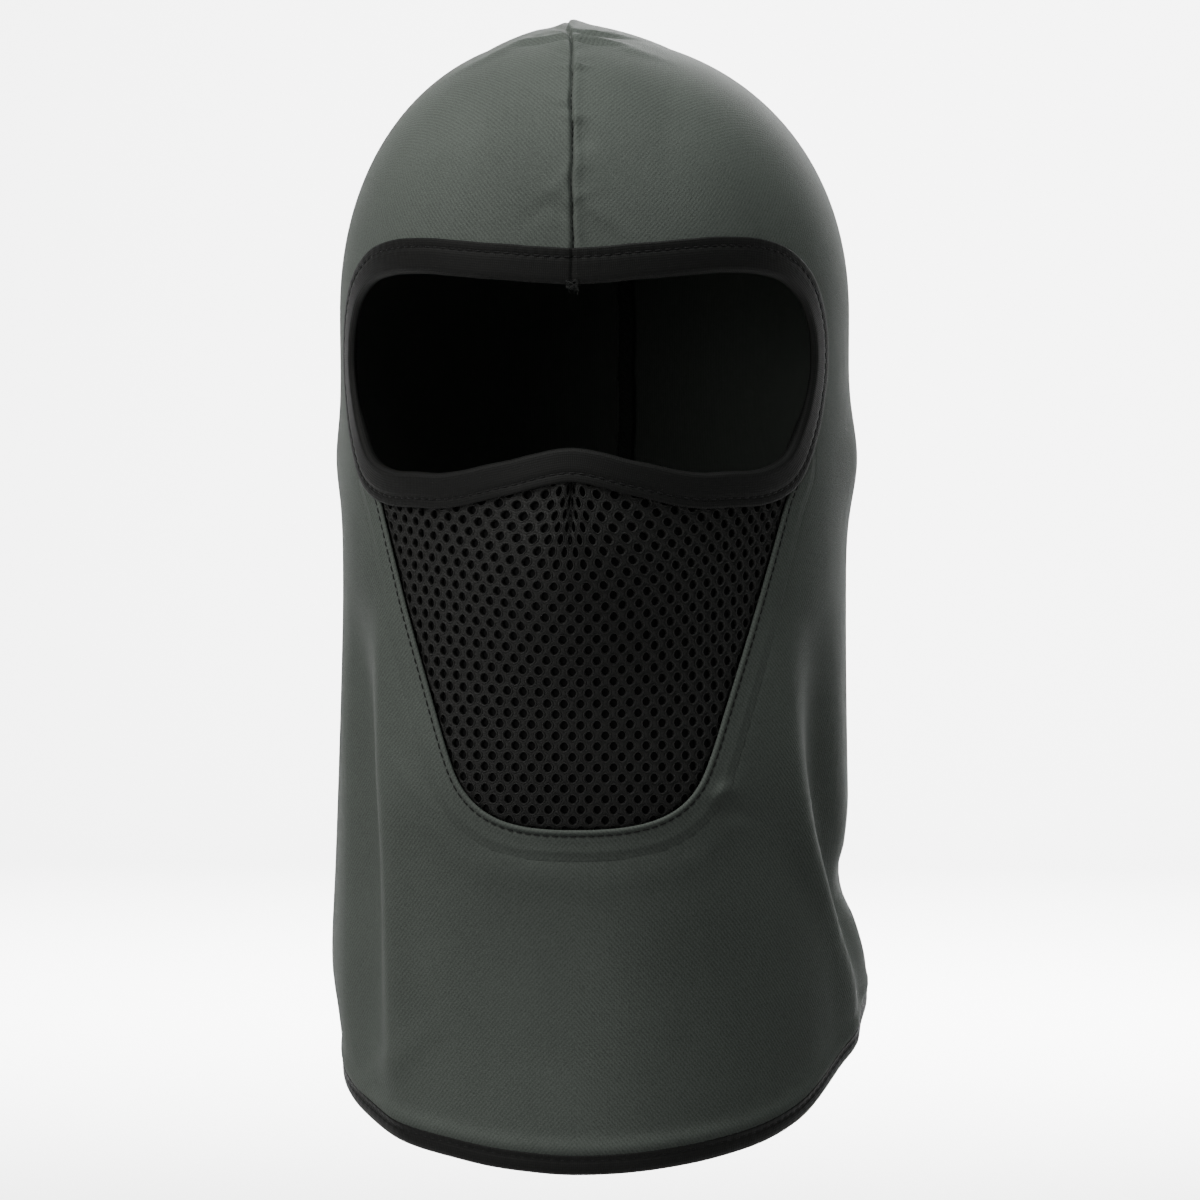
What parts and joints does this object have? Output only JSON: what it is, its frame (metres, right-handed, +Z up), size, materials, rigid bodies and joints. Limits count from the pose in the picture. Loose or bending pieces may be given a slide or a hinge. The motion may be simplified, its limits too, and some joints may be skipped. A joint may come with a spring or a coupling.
{
  "type": "balaclava",
  "caption": "Thin stretch-knit full-face hood with a wide eye opening, a ventilated mouth panel and a curved neck bib.",
  "frame": {"origin": "centre of the wearer's head, midway between the ears", "axes": "+Z up to the crown, the face looks along -Y, +X is the wearer's left"},
  "size_m": [0.1578, 0.2069, 0.3362],
  "materials": {
    "knit": "smooth matt grey stretch knit",
    "mesh": "black open spacer mesh",
    "backing": "matt black knit",
    "tape": "matt black ribbed elastic tape",
    "black_thread": "spun black thread",
    "grey_thread": "spun dark grey thread"
  },
  "bodies": {
    "root": {"shell": "knit", "mouth_mesh": "mesh", "mouth_backing": "backing", "face_binding": "tape", "hem_binding": "tape", "crown_seam_thread": "grey_thread", "crown_seam_overlock": "grey_thread", "mouth_topstitch": "grey_thread", "mouth_seam_overlock": "grey_thread", "face_binding_stitch": "black_thread", "face_binding_looper": "black_thread", "hem_binding_stitch": "black_thread", "hem_binding_looper": "black_thread", "nose_dart_thread": "black_thread", "forehead_thread_tail": "black_thread"}
  },
  "joints": []
}
